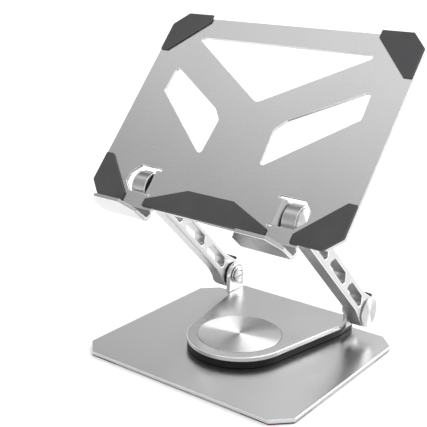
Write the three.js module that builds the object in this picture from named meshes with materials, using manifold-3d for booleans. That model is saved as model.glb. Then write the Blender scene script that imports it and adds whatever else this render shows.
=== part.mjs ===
// A folding, swivelling tablet stand in bent aluminium sheet. Millimetres, +Z up, front towards -Y.
// The origin is the middle of the base plate, on the table.
import * as THREE from "three";
import { mergeVertices } from "three/addons/utils/BufferGeometryUtils.js";
import Module from "manifold-3d";

const wasm = await Module();
wasm.setup();

// ---------------------------------------------------------------- driving dimensions
const GAP = 0.3; // clearance between pieces that touch
const FIT = 0.2; // radial clearance of a shank in its hole
const ROUND = 36; // sides of a full circle on visible round pieces
const SMALL_ROUND = 20; // sides of a full circle on hardware
const PAST = 1; // how far a cut runs on past the surface it leaves

const FOOT_T = 0.9;
const BASE = { width: 204, depth: 176, chamfer: 14, thickness: 3, corner: 1.5 };
const BASE_BOTTOM = FOOT_T + GAP;
const BASE_TOP = BASE_BOTTOM + BASE.thickness;

const SPACER_T = 5.7;
const SPACER_INSET = 0.4; // how far the spacer stays inside the swivel plate's outline
const SWIVEL_T = 3.8;
const SWIVEL_Y = -1.7;
const SPACER_BOTTOM = BASE_TOP + GAP;
const SWIVEL_BOTTOM = SPACER_BOTTOM + SPACER_T + GAP;
const SWIVEL_TOP = SWIVEL_BOTTOM + SWIVEL_T;
const NOSE_R = 44.6;
const CAP_DISC = { r: 35.1, thickness: 1.4, pocket: 1.2, lift: 0.1, edge: 0.4 };
const HUB = { flangeR: 16, flangeT: 2.2, bossR: 9, boreR: 3.2 };
const HUB_SCREW = { count: 3, ring: 12.5, shankR: 1.4, headR: 2.8, headT: 1.5 };
const SWIVEL_HEAD = {
  r: 14,
  pocketR: 15,
  pocket: 1.6,
  thickness: 0.8,
  sunk: 0.2,
  washerT: 0.4,
  washerLift: 0.1,
};
const SWIVEL_HEAD_TOP = SWIVEL_TOP - CAP_DISC.pocket - SWIVEL_HEAD.sunk;

const EAR_IN = 60.2; // inner face of a swivel ear, from the middle
const EAR_OUT = EAR_IN + SWIVEL_T;
const EAR_R = 11;
const BEND_R = 1.5; // inside radius of every bend
const HINGE_Y = 76;
const HINGE_Z = 28.3;

const WASHER = { r: 10.8, thickness: 0.9 };
const ARM = {
  length: 153,
  width: 18,
  thickness: 12.4,
  knuckleR: 13.1,
  lowFlare: 21,
  highFlare: 15,
  tilt: 44.8,
};
const ARM_IN = EAR_OUT + GAP + WASHER.thickness + GAP;
const ARM_OUT = ARM_IN + ARM.thickness;
const ARM_HOLE = {
  count: 3,
  pitch: 42.2,
  halfLong: 17.6,
  halfBack: 12.8,
  halfFront: 15.2,
  back: 5,
  point: 0.8,
  front: 4,
  corner: 1.6,
};
const HINGE_CAP = { r: 12.9, thickness: 1.4, edge: 0.5 };
const BOLT = { r: 4.3, headR: 6.6, headT: 3, sunk: 0.1, headSeat: 0.4, end: 0.3 };
const PIN_HOLE = { r: 0.6, offset: 1.6, depth: 1.2, sides: 8 }; // for a pin spanner, in a bolt's nut end
const BUMPER = { inner: 11, outer: 16.2, from: 4, to: 38, width: 8.4 };
const SPRING_WASHER = { r: 8, thickness: 1 };
const NUT = { r: 7, thickness: 2.2 };

const TRAY = { width: 240, height: 185, chamfer: 13, thickness: 3, corner: 1.2, angle: 48.5 };
const TRAY_HINGE = { up: 22.4, behind: 12.6 };
const TRIANGLE_WINDOW = { half: 87.5, point: 107.5, top: 162 };
const SIDE_WINDOW = [
  [34.5, 96.5],
  [26.5, 87],
  [28.5, 53.5],
  [94, 106],
  [93, 131],
];
const WINDOW_CORNER = 3;
const OPENING = { out: 86.4, low: 11.5, high: 35.4, chamfer: 8, corner: 0.8 };
const TRAY_EAR_R = 10.7;
const TRAY_EAR_OUT = EAR_OUT;
const TRAY_EAR_IN = TRAY_EAR_OUT - TRAY.thickness;
const RELIEF = { width: 1.6, inner: 3 }; // slots that end a bend, and how far in from it they reach
const LIP = {
  from: 46,
  to: 89.5,
  neck: 2.4,
  neckLength: 3.8,
  drop: 11.8,
  lean: 23,
  depth: 32,
  straight: 18.5,
  chamfer: 9,
};
const PAD = { thickness: 1.3, gap: 0.2, inset: 0.6, reach: 39.7, end: 7.9, corner: 0.6 };
const MIDDLE_PAD = { half: 58.7, end: 7, topHalf: 22, height: 21.7 };

// ---------------------------------------------------------------- materials
function metal(name, colour, roughness) {
  return new THREE.MeshStandardMaterial({ name, color: colour, roughness, metalness: 1 });
}

const sheetMetal = () => metal("satin_sheet", 0xb9b9bc, 0.38);
const armMetal = () => metal("arm_metal", 0xc6c6ca, 0.35);
const spunMetal = () => metal("spun_cap", 0xe2e2e4, 0.16);
const steel = () => metal("hinge_steel", 0xb0aea8, 0.3);
const rubber = () => new THREE.MeshStandardMaterial({ name: "rubber", color: 0x4d4c51, roughness: 0.8 });
const blackPlastic = () => new THREE.MeshStandardMaterial({ name: "black", color: 0x151517, roughness: 0.6 });

// ---------------------------------------------------------------- solids
// A closed three.js geometry as a solid.
function solid(geometry) {
  const bare = geometry.clone();
  bare.deleteAttribute("normal");
  bare.deleteAttribute("uv");
  const merged = mergeVertices(bare, 1e-4);
  const vertProperties = new Float32Array(merged.attributes.position.array);
  const triVerts = new Uint32Array(merged.index.array);
  return new wasm.Manifold(new wasm.Mesh({ numProp: 3, vertProperties, triVerts }));
}

// A solid back as a three.js geometry.
function geometryOf(body) {
  const mesh = body.getMesh();
  const geometry = new THREE.BufferGeometry();
  geometry.setAttribute("position", new THREE.BufferAttribute(mesh.vertProperties, 3));
  geometry.setIndex(new THREE.BufferAttribute(mesh.triVerts, 1));
  geometry.computeVertexNormals();
  return geometry;
}

// An outline through the given corners, each rounded by the given radius (0 keeps it sharp).
function outline(corners, radius = 0) {
  const points = corners.map(([x, y]) => new THREE.Vector2(x, y));
  const shape = new THREE.Shape();
  points.forEach((corner, i) => {
    const before = points[(i + points.length - 1) % points.length];
    const after = points[(i + 1) % points.length];
    const start = corner.clone().add(before.clone().sub(corner).setLength(radius));
    const end = corner.clone().add(after.clone().sub(corner).setLength(radius));
    if (i === 0) shape.moveTo(start.x, start.y);
    else shape.lineTo(start.x, start.y);
    if (radius > 0) shape.quadraticCurveTo(corner.x, corner.y, end.x, end.y);
  });
  shape.closePath();
  return shape;
}

// A shape drawn in X and Y, made solid from z0 to z1.
function plateZ(shape, z0, z1, curveSegments = 4) {
  const made = new THREE.ExtrudeGeometry(shape, { depth: z1 - z0, bevelEnabled: false, curveSegments });
  return solid(made.translate(0, 0, z0));
}

// A shape drawn in Y and Z, made solid from x0 to x1.
function plateX(shape, x0, x1, curveSegments = 4) {
  const made = new THREE.ExtrudeGeometry(shape, { depth: x1 - x0, bevelEnabled: false, curveSegments });
  const turn = new THREE.Matrix4().makeBasis(
    new THREE.Vector3(0, 1, 0),
    new THREE.Vector3(0, 0, 1),
    new THREE.Vector3(1, 0, 0),
  );
  return solid(made.applyMatrix4(turn).translate(x0, 0, 0));
}

// A shape drawn in X and Z, made solid from y0 to y1.
function plateY(shape, y0, y1, curveSegments = 4) {
  const made = new THREE.ExtrudeGeometry(shape, { depth: y1 - y0, bevelEnabled: false, curveSegments });
  return solid(made.rotateX(Math.PI / 2).translate(0, y1, 0));
}

// A round bar along Z.
function barZ(r, z0, z1, x = 0, y = 0, sides = ROUND) {
  const made = new THREE.CylinderGeometry(r, r, z1 - z0, sides);
  return solid(made.rotateX(Math.PI / 2).translate(x, y, (z0 + z1) / 2));
}

// A round bar along X, on the hinge axis at y, z.
function barX(r, x0, x1, y = 0, z = 0, sides = SMALL_ROUND) {
  const made = new THREE.CylinderGeometry(r, r, x1 - x0, sides);
  return solid(made.rotateZ(Math.PI / 2).translate((x0 + x1) / 2, y, z));
}

function box(x0, x1, y0, y1, z0, z1) {
  const made = new THREE.BoxGeometry(x1 - x0, y1 - y0, z1 - z0);
  return solid(made.translate((x0 + x1) / 2, (y0 + y1) / 2, (z0 + z1) / 2));
}

function mirrored(body) {
  return body.mirror([1, 0, 0]);
}

// ---------------------------------------------------------------- the assembly
const stand = new THREE.Group();
const armFrame = new THREE.Group();
armFrame.position.set(0, HINGE_Y, HINGE_Z);
armFrame.rotation.x = THREE.MathUtils.degToRad(180 - ARM.tilt);
const trayFrame = new THREE.Group();
trayFrame.rotation.x = THREE.MathUtils.degToRad(TRAY.angle);
stand.add(armFrame, trayFrame);

function add(frame, name, body, material) {
  const mesh = new THREE.Mesh(geometryOf(body), material);
  mesh.name = name;
  frame.add(mesh);
}

// One piece on each side; the body given is the one on the +X side, the right as seen from the front.
function addPair(frame, name, body, material) {
  add(frame, `${name}_right`, body, material());
  add(frame, `${name}_left`, mirrored(body), material());
}

function chamferedRectangle(halfWidth, halfDepth, c) {
  return [
    [-halfWidth + c, -halfDepth],
    [halfWidth - c, -halfDepth],
    [halfWidth, -halfDepth + c],
    [halfWidth, halfDepth - c],
    [halfWidth - c, halfDepth],
    [-halfWidth + c, halfDepth],
    [-halfWidth, halfDepth - c],
    [-halfWidth, -halfDepth + c],
  ];
}

// A pad that fills the chamfered corner at (cornerX, cornerY); dirX and dirY point inwards.
function cornerPad(cornerX, cornerY, dirX, dirY, chamfer) {
  const at = (along, up) => [cornerX + dirX * along, cornerY + dirY * up];
  const { inset, reach, end } = PAD;
  const corners = [
    at(reach, inset),
    at(chamfer, inset),
    at(inset, chamfer),
    at(inset, reach),
    at(end, reach),
    at(reach, end),
  ];
  return dirX * dirY > 0 ? corners.reverse() : corners;
}

// ---- base
const screwPlaces = Array.from({ length: HUB_SCREW.count }, (_, i) => {
  const turn = (i / HUB_SCREW.count) * 2 * Math.PI + Math.PI / 2;
  return [HUB_SCREW.ring * Math.cos(turn), SWIVEL_Y + HUB_SCREW.ring * Math.sin(turn)];
});

// A countersunk screw from below, or the hole for it when grown by some clearance.
function hubScrew([x, y], grow, top) {
  const head = [
    new THREE.Vector2(0, 0),
    new THREE.Vector2(HUB_SCREW.headR + grow, 0),
    new THREE.Vector2(HUB_SCREW.shankR + grow, HUB_SCREW.headT),
    new THREE.Vector2(HUB_SCREW.shankR + grow, top - BASE_BOTTOM),
    new THREE.Vector2(0, top - BASE_BOTTOM),
  ];
  const made = new THREE.LatheGeometry(head, 12);
  return solid(made.rotateX(Math.PI / 2).translate(x, y, BASE_BOTTOM));
}

function basePlate() {
  const { width, depth, chamfer, corner } = BASE;
  const shape = outline(chamferedRectangle(width / 2, depth / 2, chamfer), corner);
  let plate = plateZ(shape, BASE_BOTTOM, BASE_TOP, 3);
  for (const place of screwPlaces) {
    plate = plate.subtract(hubScrew(place, FIT, BASE_TOP + PAST));
    const mouth = barZ(HUB_SCREW.headR + FIT, BASE_BOTTOM - PAST, BASE_BOTTOM + FIT / 2, ...place, 12);
    plate = plate.subtract(mouth);
  }
  return plate;
}

function swivelHub() {
  const headBottom = SWIVEL_HEAD_TOP - SWIVEL_HEAD.thickness;
  const flange = barZ(HUB.flangeR, SPACER_BOTTOM, SPACER_BOTTOM + HUB.flangeT, 0, SWIVEL_Y);
  const boss = barZ(HUB.bossR, SPACER_BOTTOM, headBottom - GAP, 0, SWIVEL_Y, SMALL_ROUND);
  const bore = barZ(HUB.boreR, SPACER_BOTTOM - PAST, SWIVEL_TOP, 0, SWIVEL_Y, SMALL_ROUND);
  let hub = flange.add(boss).subtract(bore);
  for (const place of screwPlaces) {
    hub = hub.subtract(hubScrew(place, FIT, SWIVEL_TOP));
  }
  return hub;
}

function swivelBolt() {
  const headBottom = SWIVEL_HEAD_TOP - SWIVEL_HEAD.thickness;
  const head = barZ(SWIVEL_HEAD.r, headBottom, SWIVEL_HEAD_TOP, 0, SWIVEL_Y);
  const shank = barZ(HUB.boreR - FIT, SPACER_BOTTOM, SWIVEL_HEAD_TOP, 0, SWIVEL_Y, SMALL_ROUND);
  return head.add(shank);
}

add(stand, "base_plate", basePlate(), sheetMetal());
for (const [side, dirX] of [["left", 1], ["right", -1]]) {
  for (const [end, dirY] of [["front", 1], ["rear", -1]]) {
    const corner = cornerPad((-dirX * BASE.width) / 2, (-dirY * BASE.depth) / 2, dirX, dirY, BASE.chamfer);
    add(stand, `base_foot_${end}_${side}`, plateZ(outline(corner), 0, FOOT_T), rubber());
  }
}
add(stand, "swivel_hub", swivelHub(), steel());
screwPlaces.forEach((place, i) => {
  add(stand, `hub_screw_${i + 1}`, hubScrew(place, 0, SPACER_BOTTOM + HUB.flangeT - GAP), steel());
});
add(stand, "swivel_bolt", swivelBolt(), steel());

// ---- swivel
// The teardrop: a round nose about the swivel axis, and straight sides that spread to the ears.
function teardrop(noseR, halfWidth, sideY, rearY) {
  const fromAxis = new THREE.Vector2(halfWidth, sideY - SWIVEL_Y);
  const spread = Math.acos(noseR / fromAxis.length());
  const tangent = fromAxis.angle() - spread;
  const shape = new THREE.Shape();
  shape.moveTo(halfWidth, sideY);
  shape.lineTo(halfWidth, rearY);
  shape.lineTo(-halfWidth, rearY);
  shape.lineTo(-halfWidth, sideY);
  shape.absarc(0, SWIVEL_Y, noseR, Math.PI - tangent, 2 * Math.PI + tangent, false);
  shape.closePath();
  return shape;
}

// An upright tab with a round top, drawn in Y and Z about the hinge axis.
function roundTab(y, z, r, footZ) {
  const shape = new THREE.Shape();
  const up = Math.sign(z - footZ);
  shape.moveTo(y - r, footZ);
  if (up > 0) {
    shape.lineTo(y + r, footZ);
    shape.absarc(y, z, r, 0, Math.PI, false);
  } else {
    shape.lineTo(y - r, z);
    shape.absarc(y, z, r, Math.PI, 2 * Math.PI, false);
    shape.lineTo(y + r, footZ);
  }
  shape.closePath();
  return shape;
}

// The corner of a sheet bent from flat (inner face at z) to upright, as a section in X and Z.
// dir is +1 when the sheet turns up and -1 when it turns down.
function bendSection(outX, flatX, z, thickness, dir) {
  const outer = BEND_R + thickness;
  const centreX = outX - outer;
  const centreZ = z + dir * BEND_R;
  const shape = new THREE.Shape();
  shape.moveTo(flatX, z - dir * thickness);
  shape.lineTo(centreX, z - dir * thickness);
  shape.absarc(centreX, centreZ, outer, (-dir * Math.PI) / 2, 0, dir < 0);
  shape.lineTo(outX, centreZ + dir * PAST);
  shape.lineTo(outX - thickness, centreZ + dir * PAST);
  shape.lineTo(outX - thickness, centreZ);
  shape.absarc(centreX, centreZ, BEND_R, 0, (-dir * Math.PI) / 2, dir > 0);
  shape.lineTo(flatX, z);
  shape.closePath();
  return shape;
}

function swivelPlate() {
  const flatHalf = EAR_OUT - BEND_R - SWIVEL_T;
  const earFront = HINGE_Y - EAR_R;
  const earRear = HINGE_Y + EAR_R;
  let plate = plateZ(teardrop(NOSE_R, flatHalf, earFront, earRear), SWIVEL_BOTTOM, SWIVEL_TOP, 32);
  const section = bendSection(EAR_OUT, flatHalf - PAST, SWIVEL_TOP, SWIVEL_T, 1);
  const tab = roundTab(HINGE_Y, HINGE_Z, EAR_R, SWIVEL_TOP + BEND_R);
  let ear = plateY(section, earFront, earRear, 6).add(plateX(tab, EAR_IN, EAR_OUT, 16));
  ear = ear.subtract(barX(BOLT.r + FIT, EAR_IN - PAST, EAR_OUT + PAST, HINGE_Y, HINGE_Z));
  plate = plate.add(ear).add(mirrored(ear));
  const pocketFloor = SWIVEL_TOP - CAP_DISC.pocket;
  plate = plate.subtract(barZ(CAP_DISC.r + GAP, pocketFloor, SWIVEL_TOP + PAST, 0, SWIVEL_Y, 64));
  plate = plate.subtract(barZ(SWIVEL_HEAD.pocketR, pocketFloor - SWIVEL_HEAD.pocket, SWIVEL_TOP, 0, SWIVEL_Y));
  return plate.subtract(barZ(HUB.bossR + GAP, SWIVEL_BOTTOM - PAST, SWIVEL_TOP, 0, SWIVEL_Y, SMALL_ROUND));
}

function swivelSpacer() {
  const halfWidth = EAR_OUT - BEND_R - SWIVEL_T - SPACER_INSET;
  const rear = HINGE_Y + EAR_R - SPACER_INSET;
  const shape = teardrop(NOSE_R - SPACER_INSET, halfWidth, HINGE_Y - EAR_R, rear);
  const top = SPACER_BOTTOM + SPACER_T;
  let spacer = plateZ(shape, SPACER_BOTTOM, top, 24);
  const flangeRoom = SPACER_BOTTOM + HUB.flangeT + GAP;
  spacer = spacer.subtract(barZ(HUB.flangeR + GAP, SPACER_BOTTOM - PAST, flangeRoom, 0, SWIVEL_Y));
  return spacer.subtract(barZ(HUB.bossR + GAP, SPACER_BOTTOM, top + PAST, 0, SWIVEL_Y, SMALL_ROUND));
}

function swivelWasher() {
  const bottom = SWIVEL_TOP - CAP_DISC.pocket - SWIVEL_HEAD.pocket + SWIVEL_HEAD.washerLift;
  const disc = barZ(SWIVEL_HEAD.r, bottom, bottom + SWIVEL_HEAD.washerT, 0, SWIVEL_Y);
  return disc.subtract(barZ(HUB.bossR + GAP, bottom - PAST, bottom + PAST, 0, SWIVEL_Y, SMALL_ROUND));
}

// A disc about the Y axis with its top edge broken, as a geometry.
function discGeometry({ r, thickness, edge }, sides) {
  const profile = [
    new THREE.Vector2(0, 0),
    new THREE.Vector2(r, 0),
    new THREE.Vector2(r, thickness - edge),
    new THREE.Vector2(r - edge, thickness),
    new THREE.Vector2(0, thickness),
  ];
  return new THREE.LatheGeometry(profile, sides);
}

function swivelCap() {
  const bottom = SWIVEL_TOP - CAP_DISC.pocket + CAP_DISC.lift;
  return solid(discGeometry(CAP_DISC, 64).rotateX(Math.PI / 2).translate(0, SWIVEL_Y, bottom));
}

add(stand, "swivel_plate", swivelPlate(), sheetMetal());
add(stand, "swivel_spacer", swivelSpacer(), blackPlastic());
add(stand, "swivel_washer", swivelWasher(), blackPlastic());
add(stand, "swivel_cap", swivelCap(), spunMetal());

// ---- arms, drawn in their own frame: Y runs up the arm from the lower hinge, Z is its under side
function armHole(y) {
  const { halfLong, halfBack, halfFront, back, point, front } = ARM_HOLE;
  return [
    [y - halfBack, -back],
    [y + halfBack, -back],
    [y + halfLong, point],
    [y + halfFront, front],
    [y - halfFront, front],
    [y - halfLong, point],
  ];
}

function armBar() {
  const { length, width, knuckleR, lowFlare, highFlare } = ARM;
  const half = width / 2;
  const touch = (reach) => Math.atan2(half, reach) + Math.acos(knuckleR / Math.hypot(reach, half));
  const low = touch(lowFlare);
  const high = touch(highFlare);
  const shape = new THREE.Shape();
  shape.moveTo(lowFlare, half);
  shape.absarc(0, 0, knuckleR, low, 2 * Math.PI - low, false);
  shape.lineTo(lowFlare, -half);
  shape.lineTo(length - highFlare, -half);
  shape.absarc(length, 0, knuckleR, Math.PI + high, 3 * Math.PI - high, false);
  shape.lineTo(length - highFlare, half);
  shape.closePath();
  let bar = plateX(shape, ARM_IN, ARM_OUT, 20);

  for (let i = 0; i < ARM_HOLE.count; i++) {
    const y = length / 2 + (i - (ARM_HOLE.count - 1) / 2) * ARM_HOLE.pitch;
    bar = bar.subtract(plateX(outline(armHole(y), ARM_HOLE.corner), ARM_IN - PAST, ARM_OUT + PAST, 3));
  }
  for (const y of [0, length]) {
    bar = bar.subtract(barX(BOLT.r + FIT, ARM_IN - PAST, ARM_OUT + PAST, y));
    bar = bar.subtract(barX(BOLT.headR + FIT, ARM_OUT - BOLT.headT - BOLT.headSeat, ARM_OUT + PAST, y));
  }
  return bar.subtract(bumper(GAP));
}

// The rubber bumper let into the back of the lower knuckle, or its pocket when grown.
function bumper(grow) {
  const middle = (ARM_IN + ARM_OUT) / 2;
  const half = BUMPER.width / 2 + grow;
  const spare = grow / BUMPER.outer;
  const from = THREE.MathUtils.degToRad(BUMPER.from - 90) - spare;
  const to = THREE.MathUtils.degToRad(BUMPER.to - 90) + spare;
  const shape = new THREE.Shape();
  shape.absarc(0, 0, BUMPER.inner - grow, to, from, true);
  shape.absarc(0, 0, BUMPER.outer + grow, from, to, false);
  shape.closePath();
  return plateX(shape, middle - half, middle + half, 8);
}

// A flat washer or collar about a hinge axis.
function ring(outer, x0, x1, y = 0, z = 0, sides = SMALL_ROUND) {
  return barX(outer, x0, x1, y, z, sides).subtract(barX(BOLT.r + FIT, x0 - PAST, x1 + PAST, y, z));
}

function hingeCap() {
  return solid(discGeometry(HINGE_CAP, ROUND).rotateZ(-Math.PI / 2).translate(ARM_OUT + GAP, 0, 0));
}

// The bolt, spring washer and nut of one hinge, about the axis at y, z; the ear's inner face is at earX.
function hingeHardware(earX, y, z) {
  const nutOut = earX - GAP - SPRING_WASHER.thickness - GAP;
  const nutIn = nutOut - NUT.thickness;
  const end = nutIn - BOLT.end;
  const headIn = ARM_OUT - BOLT.headT;
  const shank = barX(BOLT.r, end, headIn + BOLT.sunk, y, z);
  let bolt = shank.add(barX(BOLT.headR, headIn, ARM_OUT - BOLT.sunk, y, z));
  for (const side of [-PIN_HOLE.offset, PIN_HOLE.offset]) {
    const hole = barX(PIN_HOLE.r, end - PAST, end + PIN_HOLE.depth, y + side, z, PIN_HOLE.sides);
    bolt = bolt.subtract(hole);
  }
  const washer = ring(SPRING_WASHER.r, earX - GAP - SPRING_WASHER.thickness, earX - GAP, y, z, ROUND);
  const nut = ring(NUT.r, nutIn, nutOut, y, z, ROUND);
  return { bolt, washer, nut };
}

addPair(armFrame, "arm", armBar(), armMetal);
addPair(armFrame, "arm_bumper", bumper(0), blackPlastic);
const washerX = EAR_OUT + GAP;
for (const [place, y] of [["lower", 0], ["upper", ARM.length]]) {
  const level = new THREE.Group();
  level.position.y = y;
  armFrame.add(level);
  const washer = ring(WASHER.r, washerX, washerX + WASHER.thickness, 0, 0, ROUND);
  addPair(level, `${place}_friction_washer`, washer, blackPlastic);
  addPair(level, `${place}_hinge_cap`, hingeCap(), spunMetal);
}

const lower = hingeHardware(EAR_IN, HINGE_Y, HINGE_Z);
addPair(stand, "lower_hinge_bolt", lower.bolt, steel);
addPair(stand, "lower_spring_washer", lower.washer, steel);
addPair(stand, "lower_hinge_nut", lower.nut, steel);

// ---- tray, drawn flat: X across, Y up from its lower edge, Z out of its front face
const armTilt = THREE.MathUtils.degToRad(180 - ARM.tilt);
const trayTilt = THREE.MathUtils.degToRad(TRAY.angle);
const upperHinge = new THREE.Vector3(
  0,
  HINGE_Y + ARM.length * Math.cos(armTilt),
  HINGE_Z + ARM.length * Math.sin(armTilt),
);
const fromHinge = new THREE.Vector3(0, -TRAY_HINGE.up, TRAY_HINGE.behind);
trayFrame.position.copy(upperHinge).add(fromHinge.applyAxisAngle(new THREE.Vector3(1, 0, 0), trayTilt));

function trayWindows() {
  const { half, point, top } = TRIANGLE_WINDOW;
  const triangle = [
    [-half, top],
    [0, point],
    [half, top],
  ];
  const otherSide = SIDE_WINDOW.map(([x, y]) => [-x, y]).reverse();
  return [triangle, SIDE_WINDOW, otherSide];
}

function hingeOpening() {
  const { out, low, high, chamfer } = OPENING;
  const inner = TRAY_EAR_OUT - BEND_R - TRAY.thickness;
  return [
    [inner, low],
    [out - chamfer, low],
    [out, low + chamfer],
    [out, high - chamfer],
    [out - chamfer, high],
    [inner, high],
  ];
}

function trayEar() {
  const { up, behind } = TRAY_HINGE;
  const flatX = TRAY_EAR_OUT - BEND_R - TRAY.thickness;
  const section = bendSection(TRAY_EAR_OUT, flatX - PAST, -TRAY.thickness, TRAY.thickness, -1);
  const tab = roundTab(up, -behind, TRAY_EAR_R, -TRAY.thickness - BEND_R);
  const bend = plateY(section, up - TRAY_EAR_R, up + TRAY_EAR_R, 6);
  const ear = bend.add(plateX(tab, TRAY_EAR_IN, TRAY_EAR_OUT, 16));
  return ear.subtract(barX(BOLT.r + FIT, TRAY_EAR_IN - PAST, TRAY_EAR_OUT + PAST, up, -behind));
}

// The lip: a tab of the sheet that carries on below the tray, leaning forward, and then turns square to it.
function trayLip() {
  const { from, to, neck, neckLength, drop, lean, depth, straight, chamfer } = LIP;
  const t = TRAY.thickness;
  const turn = THREE.MathUtils.degToRad(lean);
  const outer = BEND_R + t;
  const section = new THREE.Shape();
  const first = new THREE.Vector2(-PAST, BEND_R); // centre of the first bend
  const second = new THREE.Vector2(-drop + outer, 0); // centre of the second bend
  second.y = first.y + (first.x - second.x) * Math.tan(turn);
  section.moveTo(PAST, 0);
  section.lineTo(first.x, 0);
  section.absarc(first.x, first.y, BEND_R, -Math.PI / 2, -Math.PI / 2 - turn, true);
  section.absarc(second.x, second.y, BEND_R, -Math.PI / 2 - turn, -Math.PI, true);
  section.lineTo(-drop + t, depth);
  section.lineTo(-drop, depth);
  section.absarc(second.x, second.y, outer, Math.PI, 1.5 * Math.PI - turn, false);
  section.absarc(first.x, first.y, outer, 1.5 * Math.PI - turn, 1.5 * Math.PI, false);
  section.lineTo(PAST, -t);
  section.closePath();
  const bar = plateX(section, from, to, 4);
  const face = [
    [from, -t - PAST],
    [to, -t - PAST],
    [to, straight],
    [to - chamfer, depth],
    [from + chamfer, depth],
    [from, straight],
  ];
  let lip = bar.intersect(plateY(outline(face), -drop - PAST, 2 * PAST));
  lip = lip.subtract(box(from - PAST, from + neck, -neckLength, 2 * PAST, -t - PAST, 2 * PAST));
  return lip.subtract(box(to - neck, to + PAST, -neckLength, 2 * PAST, -t - PAST, 2 * PAST));
}

function trayPlate() {
  const { width, height, chamfer, thickness, corner } = TRAY;
  const under = -thickness - PAST;
  const corners = chamferedRectangle(width / 2, height / 2, chamfer).map(([x, y]) => [x, y + height / 2]);
  let plate = plateZ(outline(corners, corner), -thickness, 0, 3);
  for (const hole of trayWindows()) {
    plate = plate.subtract(plateZ(outline(hole, WINDOW_CORNER), under, PAST, 3));
  }
  const opening = plateZ(outline(hingeOpening(), OPENING.corner), under, PAST, 2);
  const bendX = TRAY_EAR_OUT - BEND_R - thickness;
  const slots = [
    [TRAY_HINGE.up - TRAY_EAR_R - RELIEF.width, TRAY_HINGE.up - TRAY_EAR_R],
    [TRAY_HINGE.up + TRAY_EAR_R, OPENING.high],
  ].map(([y0, y1]) => box(bendX - RELIEF.inner, bendX + PAST, y0, y1, under, PAST));
  const notches = [LIP.from + LIP.neck - RELIEF.width, LIP.to - LIP.neck].map((x) =>
    box(x, x + RELIEF.width, -PAST, RELIEF.width, under, PAST),
  );
  for (const cut of [opening, ...slots, ...notches]) {
    plate = plate.subtract(cut).subtract(mirrored(cut));
  }
  for (const tab of [trayEar(), trayLip()]) {
    plate = plate.add(tab).add(mirrored(tab));
  }
  return plate;
}

function middlePad() {
  const { half, end, topHalf, height } = MIDDLE_PAD;
  const { inset } = PAD;
  return [
    [-half, inset],
    [half, inset],
    [half, end],
    [topHalf, height],
    [-topHalf, height],
    [-half, end],
  ];
}

add(trayFrame, "tray_plate", trayPlate(), sheetMetal());
const padSolid = (corners) => plateZ(outline(corners, PAD.corner), PAD.gap, PAD.gap + PAD.thickness, 2);
for (const [side, dirX] of [["left", 1], ["right", -1]]) {
  for (const [end, dirY, y] of [["lower", 1, 0], ["upper", -1, TRAY.height]]) {
    const corners = cornerPad((-dirX * TRAY.width) / 2, y, dirX, dirY, TRAY.chamfer);
    add(trayFrame, `tray_pad_${end}_${side}`, padSolid(corners), rubber());
  }
}
add(trayFrame, "tray_pad_middle", padSolid(middlePad()), rubber());

const upper = hingeHardware(TRAY_EAR_IN, TRAY_HINGE.up, -TRAY_HINGE.behind);
addPair(trayFrame, "upper_hinge_bolt", upper.bolt, steel);
addPair(trayFrame, "upper_spring_washer", upper.washer, steel);
addPair(trayFrame, "upper_hinge_nut", upper.nut, steel);

export default stand;
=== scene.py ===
"""The looks of a folding, swivelling tablet stand in bent aluminium sheet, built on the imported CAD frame.

Pieces are drawn in millimetres and placed in metres. Sheets are drawn flat, with their edges rounded,
and then bent, so that the finish and the edges run on through every bend.
"""

import math

import bmesh
import bpy
from mathutils import Matrix, Vector
from mathutils.kdtree import KDTree


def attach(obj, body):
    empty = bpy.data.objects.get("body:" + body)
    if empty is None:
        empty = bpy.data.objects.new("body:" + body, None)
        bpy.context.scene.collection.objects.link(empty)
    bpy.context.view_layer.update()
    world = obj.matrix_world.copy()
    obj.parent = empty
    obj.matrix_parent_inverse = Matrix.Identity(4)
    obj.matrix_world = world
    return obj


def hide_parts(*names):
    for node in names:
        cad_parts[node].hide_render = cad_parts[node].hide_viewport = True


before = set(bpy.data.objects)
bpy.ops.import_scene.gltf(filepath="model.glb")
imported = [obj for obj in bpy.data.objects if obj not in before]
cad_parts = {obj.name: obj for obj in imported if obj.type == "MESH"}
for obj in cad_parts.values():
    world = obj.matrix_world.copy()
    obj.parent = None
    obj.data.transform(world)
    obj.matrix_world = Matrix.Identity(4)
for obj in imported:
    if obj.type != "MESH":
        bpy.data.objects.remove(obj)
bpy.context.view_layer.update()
MM = 0.001
SAME_PLACE = 1e-7  # metres between two points that are one

# ---------------------------------------------------------------- dimensions, in the CAD part's millimetres
GAP = 0.3  # the clearance between neighbouring pieces
NEAR = 0.01  # how far from a line a point may be and still lie on it
BEND_R = 1.5  # inside radius of every bend
BASE_W, BASE_D, BASE_CHAMFER, BASE_BOTTOM, BASE_TOP = 204.0, 176.0, 14.0, 1.2, 4.2
FOOT_T = 0.9
SCREW_COUNT, SCREW_RING, SCREW_HOLE_R, SCREW_HEAD_R, SCREW_R = 3, 12.5, 3.0, 2.8, 1.4
SCREW_HEAD_T, SCREW_TOP, SOCKET_R, SOCKET_DEPTH = 1.5, 6.4, 1.15, 1
PAD_REACH, PAD_END, PAD_MARGIN = 39.7, 7.9, 0.6  # how far a corner pad reaches, its blunt ends, its margin
PAD_BOTTOM, PAD_TOP = 0.2, 1.5
MIDDLE_PAD = [(-58.7, 0.6), (58.7, 0.6), (58.7, 7), (22, 21.7), (-22, 21.7), (-58.7, 7)]

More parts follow.
